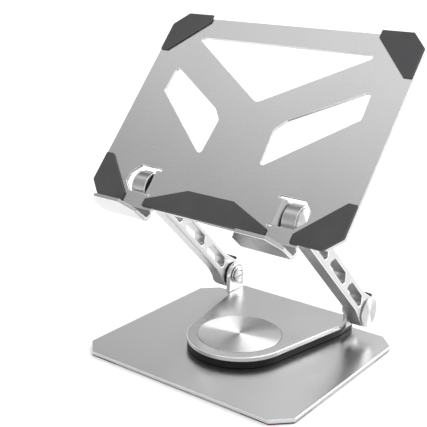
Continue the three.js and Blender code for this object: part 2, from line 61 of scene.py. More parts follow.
SPACER_BOTTOM, SPACER_TOP, SPACER_INSET, SPACER_HOLE_R = 4.5, 10.2, 0.4, 16.3
SWIVEL_BOTTOM, SWIVEL_TOP, SWIVEL_T = 10.5, 14.3, 3.8
SWIVEL_Y, NOSE_R = -1.7, 44.6
DISC_R, DISC_T, DISC_POCKET, DISC_LIFT = 35.1, 1.4, 1.2, 0.1
BOLT_POCKET_R, BOLT_POCKET, HUB_HOLE_R = 15.0, 2.8, 9.3

EAR_OUT, EAR_IN, EAR_R = 64.0, 60.2, 11.0
HINGE_Y, HINGE_Z = 76.0, 28.3
HINGE_BORE_R, BOLT_R, BOLT_HEAD_R, BOLT_HEAD_T = 4.5, 4.3, 6.6, 2.9
SPRING_WASHER_R, SPRING_WASHER_T, NUT_R, NUT_T = 8.0, 1.0, 7.0, 2.2
# Spanner holes in a bolt's end and in a nut's face. Both depths are from the nut's face.
BOLT_PIN_R, BOLT_PIN_AT, BOLT_PIN_DEPTH = 0.7, 1.7, 1.2
NUT_PIN_R, NUT_PIN_RING, NUT_PIN_DEPTH = 0.5, 5.6, 1.0
SEAT_GAP, SEAT_DEPTH = 0.2, 3.4  # the pocket for a bolt's head in an arm
SLIDE_RING_R, SLIDE_RING_T = 10.8, 0.9
CAP_R, CAP_T = 12.9, 1.4

ARM_L, ARM_HALF, KNUCKLE_R, ARM_IN, ARM_OUT = 153.0, 9.0, 13.1, 65.5, 77.9
ARM_TURN = math.radians(180 - 44.8)
LOW_FLARE, HIGH_FLARE, NECK = 21, 15, 3  # where the bar meets its knuckles, and half the soft neck there
ARM_HOLE_PITCH = 42.2
ARM_HOLE = [(-12.8, -5), (12.8, -5), (17.6, 0.8), (15.2, 4), (-15.2, 4), (-17.6, 0.8)]
BUMPER_IN, BUMPER_OUT, BUMPER_FROM, BUMPER_TO, BUMPER_HALF = 11.0, 16.2, -52, -86, 4.2

TRAY_W, TRAY_H, TRAY_CHAMFER, TRAY_T = 240.0, 185.0, 13.0, 3.0
TRAY_TURN = math.radians(48.5)
TRAY_HINGE_UP, TRAY_HINGE_BEHIND, TRAY_EAR_R = 22.4, 12.6, 10.7
TRIANGLE_WINDOW = [(-87.5, 162), (0, 107.5), (87.5, 162)]
SIDE_WINDOW = [(93, 131), (94, 106), (28.5, 53.5), (26.5, 87), (34.5, 96.5)]
OPENING_OUT, OPENING_LOW, OPENING_HIGH, OPENING_CHAMFER = 86.4, 11.3, 35.4, 8.0
RELIEF = 1.6  # width of the slots that end a bend
LIP_FROM, LIP_TO, LIP_NECK, LIP_DROP = 46.0, 89.5, 2.4, 11.8
LIP_LEAN, LIP_DEPTH, LIP_STRAIGHT, LIP_CHAMFER = math.radians(23), 32.0, 18.5, 9.0
LIP_START = 1.0  # how far below the tray's edge its lips start to bend

ARM_FRAME = Matrix.Translation((0, HINGE_Y, HINGE_Z)) @ Matrix.Rotation(ARM_TURN, 4, "X")
UPPER_HINGE = ARM_FRAME @ Vector((0, ARM_L, 0))
TRAY_FRAME = (
    Matrix.Translation(UPPER_HINGE)
    @ Matrix.Rotation(TRAY_TURN, 4, "X")
    @ Matrix.Translation((0, -TRAY_HINGE_UP, TRAY_HINGE_BEHIND))
)
TO_YZ = Matrix(((0, 0, 1, 0), (1, 0, 0, 0), (0, 1, 0, 0), (0, 0, 0, 1)))  # drawn x, y, z become Y, Z, X
TO_X = Matrix(((0, 0, 1, 0), (0, 1, 0, 0), (-1, 0, 0, 0), (0, 0, 0, 1)))  # drawn z becomes X
TO_SWIVEL = Matrix.Translation((0, SWIVEL_Y, 0))  # from the origin to the swivel's axis
SIDES = (("right", 1), ("left", -1))


def sided(sign):
    """Mirrors what is drawn for the right side of the stand, where sign is -1."""
    return Matrix.Diagonal((sign, 1, 1, 1))


def axle(sign, frame_matrix, y, z):
    """Places a round piece drawn about z on a hinge's axis, with drawn z pointing outwards."""
    return sided(sign) @ frame_matrix @ Matrix.Translation((0, y, z)) @ TO_X


# ---------------------------------------------------------------- materials
def tree(name):
    """A new material, with its nodes, its links and its shader."""
    m = bpy.data.materials.new(name)
    m.use_nodes = True
    return m, m.node_tree.nodes, m.node_tree.links, m.node_tree.nodes["Principled BSDF"]


def noise(nodes, links, vector, scale, detail=3.0, rough=0.5):
    n = nodes.new("ShaderNodeTexNoise")
    n.inputs["Scale"].default_value = scale
    n.inputs["Detail"].default_value = detail
    n.inputs["Roughness"].default_value = rough
    links.new(vector, n.inputs["Vector"])
    return n.outputs["Fac"]


def stretched(nodes, links, vector, scale):
    """A vector drawn out, so that a noise of it makes lines."""
    n = nodes.new("ShaderNodeMapping")
    n.inputs["Scale"].default_value = scale
    links.new(vector, n.inputs["Vector"])
    return n.outputs["Vector"]


def math_node(nodes, links, kind, a, b, clamp=False):
    n = nodes.new("ShaderNodeMath")
    n.operation = kind
    n.use_clamp = clamp
    for value, socket in zip((a, b), n.inputs):
        if isinstance(value, (int, float)):
            socket.default_value = value
        else:
            links.new(value, socket)
    return n.outputs[0]


def ranged(nodes, links, value, low, high, out_low, out_high):
    n = nodes.new("ShaderNodeMapRange")
    for name, v in (("From Min", low), ("From Max", high), ("To Min", out_low), ("To Max", out_high)):
        n.inputs[name].default_value = v
    links.new(value, n.inputs["Value"])
    return n.outputs["Result"]


def mixed(nodes, links, factor, a, b):
    n = nodes.new("ShaderNodeMix")
    n.data_type = "RGBA"
    links.new(factor, n.inputs["Factor"])
    for value, socket in ((a, n.inputs[6]), (b, n.inputs[7])):
        if isinstance(value, tuple):
            socket.default_value = (*value, 1)
        else:
            links.new(value, socket)
    return n.outputs[2]


def attribute(nodes, name):
    n = nodes.new("ShaderNodeAttribute")
    n.attribute_name = name
    return n


def bump(nodes, links, height, strength, distance, under=None):
    n = nodes.new("ShaderNodeBump")
    n.inputs["Strength"].default_value = strength
    n.inputs["Distance"].default_value = distance
    links.new(height, n.inputs["Height"])
    if under is not None:
        links.new(under, n.inputs["Normal"])
    return n.outputs["Normal"]


def grey(v, tint=0.0):
    """A grey, with tint more blue in it."""
    return (v, v, v * (1 + tint))


def sheet_metal(name, shade, rough, brush, edge_shade, blast=0.04):
    """Satin aluminium: fine blasted grain, faint brush lines along one way, and bright edges, partly rubbed
    wear and partly a painted highlight.
    """
    m, nodes, links, shader = tree(name)
    flat = attribute(nodes, "flat").outputs["Vector"]
    rim = attribute(nodes, "rim").outputs["Fac"]
    lines = noise(nodes, links, stretched(nodes, links, flat, brush), 1.0, 3.0, 0.6)
    grain = noise(nodes, links, flat, 5.5, 2.0, 0.7)
    cloud = noise(nodes, links, flat, 0.018, 2.0, 0.5)
    # The rounded edges and cut sides (the rim points) are painted brighter, towards edge_shade and in
    # patches: partly rubbed wear, partly a painted highlight.
    edge_lightness = noise(nodes, links, flat, 0.9, 3.0, 0.65)
    patchy = ranged(nodes, links, edge_lightness, 0.25, 0.55, 0.8, 1.0)
    wear_and_highlight = math_node(nodes, links, "MULTIPLY", rim, patchy, True)
    body = mixed(nodes, links, cloud, grey(shade * 0.97, 0.008), grey(shade * 1.03, 0.012))
    brushed = ranged(nodes, links, lines, 0.3, 0.7, 0.0, 0.16)
    body = mixed(nodes, links, brushed, body, grey(shade * 0.86, 0.01))
    links.new(mixed(nodes, links, wear_and_highlight, body, grey(edge_shade)), shader.inputs["Base Color"])
    shader.inputs["Metallic"].default_value = 1.0
    in_lines = ranged(nodes, links, lines, 0.3, 0.7, -0.012, 0.012)
    in_clouds = ranged(nodes, links, cloud, 0.3, 0.7, -0.015, 0.015)
    rubbed = ranged(nodes, links, wear_and_highlight, 0, 1, 0, rough * 0.3)
    roughness = math_node(nodes, links, "ADD", in_lines, rough)
    roughness = math_node(nodes, links, "ADD", roughness, in_clouds)
    roughness = math_node(nodes, links, "SUBTRACT", roughness, rubbed)
    links.new(roughness, shader.inputs["Roughness"])
    coarse = bump(nodes, links, lines, blast * 0.3, 0.00002)
    links.new(bump(nodes, links, grain, blast, 0.00008, coarse), shader.inputs["Normal"])
    return m


def spun_metal(name, axis, shade, rough, anisotropic):
    """Face-turned aluminium or steel: concentric tool marks about the axis it was drawn on."""
    m, nodes, links, shader = tree(name)
    place = attribute(nodes, "flat").outputs["Vector"]
    rim = attribute(nodes, "rim").outputs["Fac"]
    split = nodes.new("ShaderNodeSeparateXYZ")
    links.new(place, split.inputs[0])
    squares = [math_node(nodes, links, "MULTIPLY", split.outputs[i], split.outputs[i]) for i in (0, 1)]
    radius = math_node(nodes, links, "SQRT", math_node(nodes, links, "ADD", *squares), 0)
    marks = nodes.new("ShaderNodeTexNoise")
    marks.noise_dimensions = "1D"
    marks.inputs["Scale"].default_value = 4.5
    marks.inputs["Detail"].default_value = 4.0
    links.new(radius, marks.inputs["W"])
    lines = marks.outputs["Fac"]
    grain = noise(nodes, links, place, 2.4, 3.0, 0.6)
    grooves = ranged(nodes, links, lines, 0.3, 0.7, 0, 1)
    body = mixed(nodes, links, grooves, grey(shade * 0.95), grey(shade * 1.02))
    stained = ranged(nodes, links, grain, 0.3, 0.7, 0, 0.15)
    body = mixed(nodes, links, stained, body, grey(shade * 0.88))
    # The rounded edges (the rim points) are painted near white: a painted highlight on them.
    links.new(mixed(nodes, links, rim, body, grey(0.97)), shader.inputs["Base Color"])
    shader.inputs["Metallic"].default_value = 1.0
    in_grooves = ranged(nodes, links, lines, 0.3, 0.7, -0.02, 0.02)
    roughness = math_node(nodes, links, "ADD", in_grooves, rough)
    links.new(roughness, shader.inputs["Roughness"])
    shader.inputs["Anisotropic"].default_value = anisotropic
    shader.inputs["Anisotropic Rotation"].default_value = 0.25
    tangent = nodes.new("ShaderNodeTangent")
    tangent.direction_type = "RADIAL"
    tangent.axis = axis
    links.new(tangent.outputs[0], shader.inputs["Tangent"])
    links.new(bump(nodes, links, lines, 0.04, 0.00002), shader.inputs["Normal"])
    return m


def rubber(name, shade, edge_shade, rough, grain_scale=3.4):
    """Moulded silicone or rubber: fine stipple, slightly dusty, a paler worn edge."""
    m, nodes, links, shader = tree(name)
    flat = attribute(nodes, "flat").outputs["Vector"]
    rim = attribute(nodes, "rim").outputs["Fac"]
    grain = noise(nodes, links, flat, grain_scale, 3.0, 0.7)
    cells = nodes.new("ShaderNodeTexVoronoi")
    cells.inputs["Scale"].default_value = grain_scale * 0.8
    links.new(flat, cells.inputs["Vector"])
    dust = noise(nodes, links, flat, 0.05, 3.0, 0.55)
    stipple = ranged(nodes, links, grain, 0.35, 0.7, 0, 1)
    body = mixed(nodes, links, stipple, grey(shade * 0.88, 0.04), grey(shade * 1.1, 0.05))
    dusty = ranged(nodes, links, dust, 0.45, 0.75, 0, 0.28)
    body = mixed(nodes, links, dusty, body, grey(shade * 1.5, 0.03))
    edge = ranged(nodes, links, rim, 0, 1, 0, 0.75)
    links.new(mixed(nodes, links, edge, body, grey(edge_shade, 0.03)), shader.inputs["Base Color"])
    roughness = ranged(nodes, links, grain, 0.3, 0.7, rough - 0.07, rough + 0.07)
    links.new(roughness, shader.inputs["Roughness"])
    shader.inputs["Specular IOR Level"].default_value = 0.35
    under = bump(nodes, links, cells.outputs["Distance"], 0.12, 0.0001)
    links.new(bump(nodes, links, grain, 0.16, 0.0001, under), shader.inputs["Normal"])
    return m


# Which way a sheet is brushed: the grain's scale is small along the brush lines.
ALONG_X, ALONG_Y, NO_WAY = (0.03, 5.0, 1.0), (5.0, 0.03, 1.0), (1.6, 1.6, 1.6)
TRAY_METAL = sheet_metal("tray_metal", shade=0.60, rough=0.27, brush=ALONG_X, edge_shade=0.86)
BASE_METAL = sheet_metal("base_metal", shade=0.58, rough=0.25, brush=ALONG_Y, edge_shade=0.95)
SWIVEL_METAL = sheet_metal("swivel_metal", shade=0.52, rough=0.28, brush=ALONG_Y, edge_shade=0.97)
ARM_METAL = sheet_metal("arm_metal", shade=0.59, rough=0.34, brush=NO_WAY, edge_shade=0.95, blast=0.09)
SPUN_Z = spun_metal("spun_disc", axis="Z", shade=0.66, rough=0.33, anisotropic=1.0)
SPUN_X = spun_metal("spun_hinge_cap", axis="X", shade=0.66, rough=0.38, anisotropic=1.0)
STEEL_X = spun_metal("turned_steel", axis="X", shade=0.50, rough=0.24, anisotropic=0.5)
STEEL_Z = spun_metal("turned_steel_upright", axis="Z", shade=0.60, rough=0.28, anisotropic=0.5)
PAD_RUBBER = rubber("pad_rubber", shade=0.061, edge_shade=0.11, rough=0.72)
FOOT_RUBBER = rubber("foot_rubber", shade=0.05, edge_shade=0.10, rough=0.78)
BLACK_RUBBER = rubber("bumper_rubber", shade=0.012, edge_shade=0.03, rough=0.6)
BLACK_PLASTIC = rubber("black_plastic", shade=0.004, edge_shade=0.012, rough=0.5, grain_scale=2.2)


# ---------------------------------------------------------------- outlines
def arc(cx, cy, r, a0, a1, n):
    """n + 1 points round a circle, from a0 to a1 in degrees."""
    turns = [math.radians(a0 + (a1 - a0) * i / n) for i in range(n + 1)]
    return [(cx + r * math.cos(t), cy + r * math.sin(t)) for t in turns]


def fillet(points, radius, n=6):
    """The outline with its corners rounded; radius is one number, or one for each corner."""
    radii = [radius] * len(points) if isinstance(radius, (int, float)) else radius
    out = []
    for i, (p, r) in enumerate(zip(points, radii)):
        p = Vector(p)
        a = (Vector(points[i - 1]) - p).normalized()
        b = (Vector(points[(i + 1) % len(points)]) - p).normalized()
        half = a.angle(b) / 2
        if r <= 0 or abs(half - math.pi / 2) < 0.01:
            out.append(tuple(p))
            continue
        centre = p + (a + b).normalized() * (r / math.sin(half))
        start = p + a * (r / math.tan(half)) - centre
        end = p + b * (r / math.tan(half)) - centre
        turn = start.angle_signed(end)
        for k in range(n + 1):
            t = -turn * k / n
            c, s = math.cos(t), math.sin(t)
            out.append((centre.x + start.x * c - start.y * s, centre.y + start.x * s + start.y * c))
    return out


def chamfered(half_w, half_d, c):
    """A rectangle with its corners cut off, anticlockwise."""
    return [
        (-half_w + c, -half_d), (half_w - c, -half_d), (half_w, -half_d + c), (half_w, half_d - c),
        (half_w - c, half_d), (-half_w + c, half_d), (-half_w, half_d - c), (-half_w, -half_d + c),
    ]


def circle(x, y, r, n):
    """n points round a whole circle."""
    return arc(x, y, r, 0, 360, n)[:-1]


def flipped(points):
    """The same outline on the other side."""
    return [(-x, y) for x, y in reversed(points)]


def area(points):
    """Positive where the outline runs anticlockwise."""
    return sum(a[0] * b[1] - b[0] * a[1] for a, b in zip(points, points[1:] + points[:1])) / 2


# ---------------------------------------------------------------- meshes
def inset(points, d):
    """The outline moved d towards its left side, its corners kept sharp."""
    out = []
    for i, p in enumerate(points):
        p = Vector(p)
        a = (p - Vector(points[i - 1])).normalized()
        b = (Vector(points[(i + 1) % len(points)]) - p).normalized()
        na, nb = Vector((-a.y, a.x)), Vector((-b.y, b.x))
        out.append(p + (na + nb) * (d / max(0.3, 1 + na.dot(nb))))
    return out


def new_mesh():
    """A mesh with two layers for the finishes: how much each point lies on a rounded edge or cut side,
    which the finishes paint brighter, and where it was drawn.
    """
    bm = bmesh.new()
    bm.verts.layers.float.new("rim")
    bm.verts.layers.float_vector.new("flat")
    return bm


def slab(loops, z0, z1, edge=0.35, steps=3, low_edge=None, side=0.0):
    """A plate between z0 and z1 with rounded edges. The first loop is its outline, the others are holes.

    side is how bright its cut side is painted, from 0 for the finish of its faces to 1 for a bright cut;
    the bright edges are partly a painted highlight."""
    bm = new_mesh()
    rim = bm.verts.layers.float["rim"]
    low = edge if low_edge is None else low_edge
    bright = [0] + [1] * (steps - 1) + [side]  # from a face, round its edge, to the cut side
    turns = [math.radians(90 * i / steps) for i in range(steps + 1)]
    profile = [
        (low * (1 - math.sin(t)), z0 + low * (1 - math.cos(t)), edge_lightness)
        for t, edge_lightness in zip(turns, bright)
    ] + [
        (edge * (1 - math.cos(t)), z1 - edge * (1 - math.sin(t)), edge_lightness)
        for t, edge_lightness in zip(turns, reversed(bright))
    ]
    ends = ([], [])
    for k, loop in enumerate(loops):
        if (area(loop) > 0) != (k == 0):
            loop = loop[::-1]
        rings = []
        for d, z, edge_lightness in profile:
            ring = [bm.verts.new((p[0], p[1], z)) for p in inset(loop, d)]
            for v in ring:
                v[rim] = edge_lightness
            rings.append(ring)
        n = len(loop)
        for a, b in zip(rings, rings[1:]):
            for i in range(n):
                bm.faces.new((a[i], a[(i + 1) % n], b[(i + 1) % n], b[i]))
        for end, ring in zip(ends, (rings[0], rings[-1])):
            end.extend(bm.edges.get((ring[i], ring[(i + 1) % n])) for i in range(n))
    for edges, up in zip(ends, (-1, 1)):
        made = bmesh.ops.triangle_fill(bm, edges=edges, use_beauty=True, normal=(0, 0, up))
        for f in made["geom"]:
            if isinstance(f, bmesh.types.BMFace):
                f.normal_update()
                if f.normal.z * up < 0:
                    f.normal_flip()
    return keep_flat(bm)


def keep_flat(bm):
    """Remembers where each point is before any bend, for the finish's grain."""
    flat = bm.verts.layers.float_vector["flat"]
    for v in bm.verts:
        v[flat] = v.co
    return bm


def turned(profile, n=96, rims=()):
    """A solid of revolution about Z through (radius, z) points; a ring's last point joins its first."""
    bm = new_mesh()
    rim = bm.verts.layers.float["rim"]
    closed = profile[0][0] > 0
    rings = []
    for i, (r, z) in enumerate(profile):
        if r == 0:
            ring = [bm.verts.new((0, 0, z))]
        else:
            ring = [bm.verts.new((*p, z)) for p in circle(0, 0, r, n)]
        for v in ring:
            v[rim] = 1.0 if i in rims else 0.0
        rings.append(ring)
    pairs = list(zip(rings, rings[1:])) + ([(rings[-1], rings[0])] if closed else [])
    for a, b in pairs:
        for i in range(n):
            j = (i + 1) % n
            if len(a) == 1:
                bm.faces.new((a[0], b[j], b[i]))
            elif len(b) == 1:
                bm.faces.new((a[i], a[j], b[0]))
            else:
                bm.faces.new((a[i], a[j], b[j], b[i]))
    return keep_flat(bm)


def rounded_profile(r0, r1, z0, z1, e, steps=3):
    """The section of a disc (r0 = 0) or ring with rounded edges, and which of its points are on them."""
    points, rims = ([(0.0, z0)] if r0 == 0 else []), []
    corners = [(r1 - e, z0 + e, -90), (r1 - e, z1 - e, 0)]
    if r0 > 0:
        corners += [(r0 + e, z1 - e, 90), (r0 + e, z0 + e, 180)]
    for cx, cz, a0 in corners:
        for i, p in enumerate(arc(cx, cz, e, a0, a0 + 90, steps)):
            if 0 < i < steps:
                rims.append(len(points))
            points.append(p)
    if r0 == 0:
        points.append((0.0, z1))
    return points, rims


def disc(r0, r1, z0, z1, edge, n):
    """A disc or ring with rounded edges."""
    points, rims = rounded_profile(r0, r1, z0, z1, edge)
    return turned(points, n, rims)


def strips(first, length, count):
    """The lines that divide a bend into strips."""
    return [first + length * i / count for i in range(count + 1)]


def both_sides(places):
    """The same places to the right and to the left of the middle."""
    return [sign * x for sign in (1, -1) for x in places]


def cut_lines(bm, axis, places):
    """Cuts the mesh's faces along planes across one axis, so that it can bend there."""
    normal = Vector((0, 0, 0))
    normal[axis] = 1
    for at in places:
        geometry = bm.verts[:] + bm.edges[:] + bm.faces[:]
        bmesh.ops.bisect_plane(bm, geom=geometry, dist=1e-5, plane_co=normal * at, plane_no=normal)


def quarter(thickness):
    """How much flat sheet a square bend takes up."""
    return (BEND_R + thickness / 2) * math.pi / 2


def rolled(run, depth, first, thickness):
    """Where a sheet's point goes that is run past the start of a square bend of inside radius BEND_R.

    depth is 0 on the face inside the bend. first is where the bend starts. Returns (along, across)."""
    neutral = BEND_R + thickness / 2
    turn = min(max(run / neutral, 0.0), math.pi / 2)
    straight = max(0.0, run - neutral * math.pi / 2)
    r = BEND_R + depth
    along = first + r * math.sin(turn) + straight * math.cos(turn)
    across = BEND_R - r * math.cos(turn) + straight * math.sin(turn)
    return along, across


def placed(name, bm, place):
    """A mesh drawn in millimetres as an object in its place, in metres."""
    bmesh.ops.transform(bm, matrix=Matrix.Scale(MM, 4) @ place, verts=bm.verts)
    if place.determinant() < 0:
        bmesh.ops.reverse_faces(bm, faces=bm.faces)
    mesh = bpy.data.meshes.new(name)
    bm.to_mesh(mesh)
    bm.free()
    piece = bpy.data.objects.new(name, mesh)
    bpy.context.scene.collection.objects.link(piece)
    return piece


def cutter(bm, place=Matrix()):
    """A tool mesh for a cut, in millimetres, that build() uses and removes."""
    return placed("cutter", bm, place)


def bar(points, z0, z1):
    """A plain prism, for cutting with."""
    return slab([points], z0, z1, edge=0.02, steps=1)


def drill(r, z0, z1, n, place=Matrix()):
    """A cutter for a round hole from z0 to z1; at least one of these lies past the face that it opens."""
    return cutter(turned([(0, z0), (r, z0), (r, z1), (0, z1)], n), place)


def cut_out(piece, cutters, place):
    """Takes the cutters out of a piece, and gives the points of the cuts their finish."""
    for tool in cutters:
        cut = piece.modifiers.new("cut", "BOOLEAN")
        cut.operation = "DIFFERENCE"
        cut.solver = "EXACT"
        cut.object = tool
    bpy.context.view_layer.update()
    graph = bpy.context.evaluated_depsgraph_get()
    done = bpy.data.meshes.new_from_object(piece.evaluated_get(graph))
    piece.modifiers.clear()
    uncut = KDTree(len(piece.data.vertices))
    for v in piece.data.vertices:
        uncut.insert(v.co, v.index)
    uncut.balance()
    drawn = (Matrix.Scale(MM, 4) @ place).inverted()
    flat, rim = done.attributes["flat"].data, done.attributes["rim"].data
    for v in done.vertices:
        distance = uncut.find(v.co)[2]
        if distance > SAME_PLACE:  # this point was made by a cut
            flat[v.index].vector = drawn @ v.co
            rim[v.index].value = 0.0
    piece.data = done
    piece.data.name = piece.name
    for tool in cutters:
        bpy.data.objects.remove(tool)


def build(name, bm, material, body, nodes, place=Matrix(), cutters=()):
    """Makes a finished piece from a mesh drawn in millimetres, ties it to its body and hides the CAD nodes
    it stands in for.
    """
    for f in bm.faces:
        f.smooth = True
    piece = placed(name, bm, place)
    piece.data.materials.append(material)
    if cutters:
        cut_out(piece, cutters, place)
    even = piece.modifiers.new("even_normals", "WEIGHTED_NORMAL")
    even.mode = "FACE_AREA_WITH_ANGLE"
    even.keep_sharp = True
    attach(piece, body)
    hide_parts(*nodes)


def refinish(node, material):
    """Gives a CAD node that stays as it is a better material."""
    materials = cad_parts[node].data.materials
    materials.clear()
    materials.append(material)


# ---------------------------------------------------------------- base
def corner_pad(corner_x, corner_y, dx, dy, chamfer):
    """A pad's outline in a chamfered corner. dx and dy are the signs of the way in from the corner."""
    spots = [(PAD_REACH, PAD_MARGIN), (chamfer, PAD_MARGIN), (PAD_MARGIN, chamfer)]
    spots += [(PAD_MARGIN, PAD_REACH), (PAD_END, PAD_REACH), (PAD_REACH, PAD_END)]
    return [(corner_x + dx * a, corner_y + dy * b) for a, b in spots]


def base():
    """The square plate, its four feet and the screws up into the swivel's hub."""
    outline = fillet(chamfered(BASE_W / 2, BASE_D / 2, BASE_CHAMFER), 2.0, 5)
    turns = [math.radians(90 + 360 / SCREW_COUNT * i) for i in range(SCREW_COUNT)]
    screws = [(SCREW_RING * math.cos(t), SWIVEL_Y + SCREW_RING * math.sin(t)) for t in turns]
    holes = [circle(x, y, SCREW_HOLE_R, 32) for x, y in screws]
    sheet = slab([outline] + holes, BASE_BOTTOM, BASE_TOP, edge=0.45)
    build("base_sheet", sheet, BASE_METAL, "base", ["base_plate"])
    for side, dx in (("left", 1), ("right", -1)):
        for end, dy in (("front", 1), ("rear", -1)):
            pad = corner_pad(-dx * BASE_W / 2, -dy * BASE_D / 2, dx, dy, BASE_CHAMFER)
            foot = slab([fillet(pad, 1.2, 4)], 0, FOOT_T, edge=0.2, low_edge=0.35)
            nodes = [f"base_foot_{end}_{side}"]
            build(f"foot_{end}_{side}", foot, FOOT_RUBBER, "base", nodes)
    for i, (x, y) in enumerate(screws):
        profile = [
            (0, BASE_BOTTOM), (SCREW_HEAD_R - 0.3, BASE_BOTTOM), (SCREW_HEAD_R, BASE_BOTTOM + 0.25),
            (SCREW_R, BASE_BOTTOM + SCREW_HEAD_T), (SCREW_R, SCREW_TOP - 0.1),
            (SCREW_R - 0.2, SCREW_TOP), (0, SCREW_TOP),
        ]
        place = Matrix.Translation((x, y, 0))
        hexagon = circle(0, 0, SOCKET_R, 6)
        socket = cutter(bar(hexagon, BASE_BOTTOM - GAP, BASE_BOTTOM + SOCKET_DEPTH), place)
        build(f"screw_under_{i + 1}", turned(profile, n=40, rims=(2,)), STEEL_Z, "base",
              [f"hub_screw_{i + 1}"], place, [socket])
    refinish("swivel_hub", STEEL_Z)
    refinish("swivel_bolt", STEEL_Z)


# ---------------------------------------------------------------- swivel
def teardrop(nose_r, half, side_y, rear_y, ear=None, n=72):
    """A round nose and straight sides that run back from it. ear is the right side's flat tab, if any."""
    reach = Vector((half, side_y - SWIVEL_Y))
    tangent = math.degrees(math.atan2(reach.y, reach.x) - math.acos(nose_r / reach.length))
    nose = arc(0, SWIVEL_Y, nose_r, 180 - tangent, 360 + tangent, n)
    right = ear or [(half, side_y), (half, rear_y)]
    return flipped(right) + nose + right


SWIVEL_BEND = EAR_OUT - BEND_R - SWIVEL_T  # where the ears start to bend up, from the middle
EAR_LOW, EAR_HIGH = HINGE_Y - EAR_R, HINGE_Y + EAR_R


def swivel_sheet():
    """The swivel plate, drawn flat with its ears, which are then bent up."""
    centre = SWIVEL_BEND + quarter(SWIVEL_T) + (HINGE_Z - SWIVEL_TOP - BEND_R)
    tip = arc(centre, HINGE_Y, EAR_R, -90, 90, 40)
    ear = [(SWIVEL_BEND, EAR_LOW)] + tip + [(SWIVEL_BEND, EAR_HIGH)]
    outline = teardrop(NOSE_R, SWIVEL_BEND, EAR_LOW, EAR_HIGH, ear)
    bores = [circle(x, HINGE_Y, HINGE_BORE_R, 40) for x in both_sides([centre])]
    # The cut side is painted fully bright (side=1.0): partly a bright cut, partly a painted highlight.
    bm = slab([outline] + bores, SWIVEL_BOTTOM, SWIVEL_TOP, edge=0.75, low_edge=0.4, side=1.0)
    cut_lines(bm, 0, both_sides(strips(SWIVEL_BEND, quarter(SWIVEL_T), 8)))
    for v in bm.verts:
        run = abs(v.co.x) - SWIVEL_BEND
        if run > 0 and v.co.y > EAR_LOW - NEAR:
            along, across = rolled(run, SWIVEL_TOP - v.co.z, SWIVEL_BEND, SWIVEL_T)
            v.co.x = math.copysign(along, v.co.x)
            v.co.z = SWIVEL_TOP + across
    return bm


def swivel():
    """The bent plate with its pockets, the black block under it and the spun disc on it."""
    rim_r = DISC_R + GAP
    pocket = [
        (0, SWIVEL_TOP - DISC_POCKET), (rim_r, SWIVEL_TOP - DISC_POCKET), (rim_r, SWIVEL_TOP - 0.25),
        (rim_r + 0.35, SWIVEL_TOP + 0.1), (rim_r + 0.35, SWIVEL_TOP + 1), (0, SWIVEL_TOP + 1),
    ]
    tools = [
        cutter(turned(pocket, n=128), TO_SWIVEL),
        drill(BOLT_POCKET_R, SWIVEL_TOP - BOLT_POCKET, SWIVEL_TOP, 96, TO_SWIVEL),
        drill(HUB_HOLE_R, SWIVEL_BOTTOM - 1.5, SWIVEL_TOP - 1.3, 64, TO_SWIVEL),
    ]
    build("swivel_sheet", swivel_sheet(), SWIVEL_METAL, "swivel", ["swivel_plate"],
          cutters=tools)
    nose_r, half, rear = (size - SPACER_INSET for size in (NOSE_R, SWIVEL_BEND, EAR_HIGH))
    outline = teardrop(nose_r, half, EAR_LOW, rear)
    hole = circle(0, SWIVEL_Y, SPACER_HOLE_R, 64)
    block = slab([outline, hole], SPACER_BOTTOM, SPACER_TOP, edge=0.4)
    build("swivel_spacer_block", block, BLACK_PLASTIC, "swivel", ["swivel_spacer"])
    refinish("swivel_washer", BLACK_PLASTIC)
    place = Matrix.Translation((0, SWIVEL_Y, SWIVEL_TOP - DISC_POCKET + DISC_LIFT))
    spun = disc(0, DISC_R, 0, DISC_T, edge=0.3, n=160)
    build("swivel_spun_disc", spun, SPUN_Z, "swivel", ["swivel_cap"], place)


